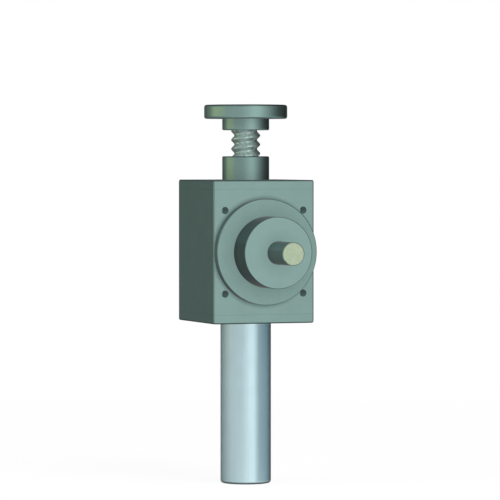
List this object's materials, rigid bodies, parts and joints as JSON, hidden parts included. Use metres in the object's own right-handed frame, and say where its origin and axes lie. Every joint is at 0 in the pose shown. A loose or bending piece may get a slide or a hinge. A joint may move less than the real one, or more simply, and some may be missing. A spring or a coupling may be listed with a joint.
{
  "type": "bevel gear screw jack",
  "caption": "Cube-shaped bevel gear screw jack: a shaft at the front turns a nut that lifts a threaded screw with a flanged top plate, over a protective tube.",
  "frame": {"origin": "middle of the housing's lower mounting face, on the axis of the lifting screw", "axes": "+Z is the lifting direction, the input shaft points along -Y, +X is to the right seen from the input shaft's end"},
  "size_m": [0.117, 0.2197, 0.4189],
  "materials": {
    "housing_paint": "grey-green paint on a machined cast housing",
    "cover_steel": "grey-green coated steel",
    "carrier_steel": "grey-green coated steel",
    "plate_steel": "grey-green coated steel",
    "tube_aluminium": "drawn, pale blue-grey",
    "cap_plastic": "black plug",
    "rubber": "black",
    "bronze": "turned",
    "nipple_steel": "zinc plated",
    "screw_steel": "rolled and greased",
    "shaft_steel": "turned",
    "gear_steel": "cut and hardened",
    "bearing_steel": "ground",
    "cage_steel": "pressed sheet",
    "plain_steel": "blackened"
  },
  "bodies": {
    "housing": {"housing": "housing_paint", "top_cover": "cover_steel", "neck_guide_bush": "bronze", "screw_wiper": "rubber", "protective_tube": "tube_aluminium", "tube_end_cap": "cap_plastic", "grease_nipple": "nipple_steel", "input_bearing_carrier": "carrier_steel", "carrier_retaining_ring": "plain_steel", "input_shaft_seal": "rubber", "outer_bearing_spacer": "bearing_steel", "rear_bearing_outer_ring": "bearing_steel", "front_bearing_outer_ring": "bearing_steel", "lower_bearing_cup": "bearing_steel", "upper_bearing_cup": "bearing_steel"},
    "drive_nut": {"lifting_nut": "bronze", "bevel_gear": "gear_steel", "gear_screws": "plain_steel", "lower_bearing_cone": "bearing_steel", "upper_bearing_cone": "bearing_steel"},
    "input_shaft": {"pinion_shaft": "shaft_steel", "inner_bearing_spacer": "bearing_steel", "shaft_retaining_ring": "plain_steel", "rear_bearing_inner_ring": "bearing_steel", "front_bearing_inner_ring": "bearing_steel"},
    "lifting_screw": {"lift_screw": "screw_steel", "top_plate": "plate_steel", "plate_lock_screw": "plain_steel", "stop_ring": "plain_steel", "stop_ring_pin": "plain_steel"},
    "input_ball_sets": {"rear_bearing_balls": "bearing_steel", "rear_bearing_cage": "cage_steel", "front_bearing_balls": "bearing_steel", "front_bearing_cage": "cage_steel"},
    "lower_roller_set": {"lower_bearing_rollers": "bearing_steel", "lower_bearing_cage": "cage_steel"},
    "upper_roller_set": {"upper_bearing_rollers": "bearing_steel", "upper_bearing_cage": "cage_steel"}
  },
  "joints": [
    {"name": "nut_turn", "type": "hinge", "parent": "housing", "child": "drive_nut", "pos_m": [0, 0, 0.0785], "axis": [0, 0, -1], "range_deg": [-792, 4608]},
    {"name": "screw_lift", "type": "slide", "parent": "housing", "child": "lifting_screw", "axis": [0, 0, 1], "range_m": [-0.022, 0.128]},
    {"name": "input_turn", "type": "hinge", "parent": "housing", "child": "input_shaft", "pos_m": [0, -0.1, 0.0785], "axis": [0, 1, 0], "range_deg": [-1584, 9216]},
    {"name": "input_ball_orbit", "type": "hinge", "parent": "housing", "child": "input_ball_sets", "pos_m": [0, -0.0719, 0.0785], "axis": [0, 1, 0], "range_deg": [-652.23, 3794.78]},
    {"name": "lower_roller_orbit", "type": "hinge", "parent": "housing", "child": "lower_roller_set", "pos_m": [0, 0, 0.0295], "axis": [0, 0, -1], "range_deg": [-352.35, 2050.05]},
    {"name": "upper_roller_orbit", "type": "hinge", "parent": "housing", "child": "upper_roller_set", "pos_m": [0, 0, 0.114], "axis": [0, 0, -1], "range_deg": [-351.39, 2044.48]}
  ],
  "couplings": [
    {"joint": "screw_lift", "follows": "nut_turn", "m_per_rad": 0.0015915},
    {"joint": "input_turn", "follows": "nut_turn", "ratio": 2},
    {"joint": "input_ball_orbit", "follows": "nut_turn", "ratio": 0.82352},
    {"joint": "lower_roller_orbit", "follows": "nut_turn", "ratio": 0.44489},
    {"joint": "upper_roller_orbit", "follows": "nut_turn", "ratio": 0.44368}
  ]
}
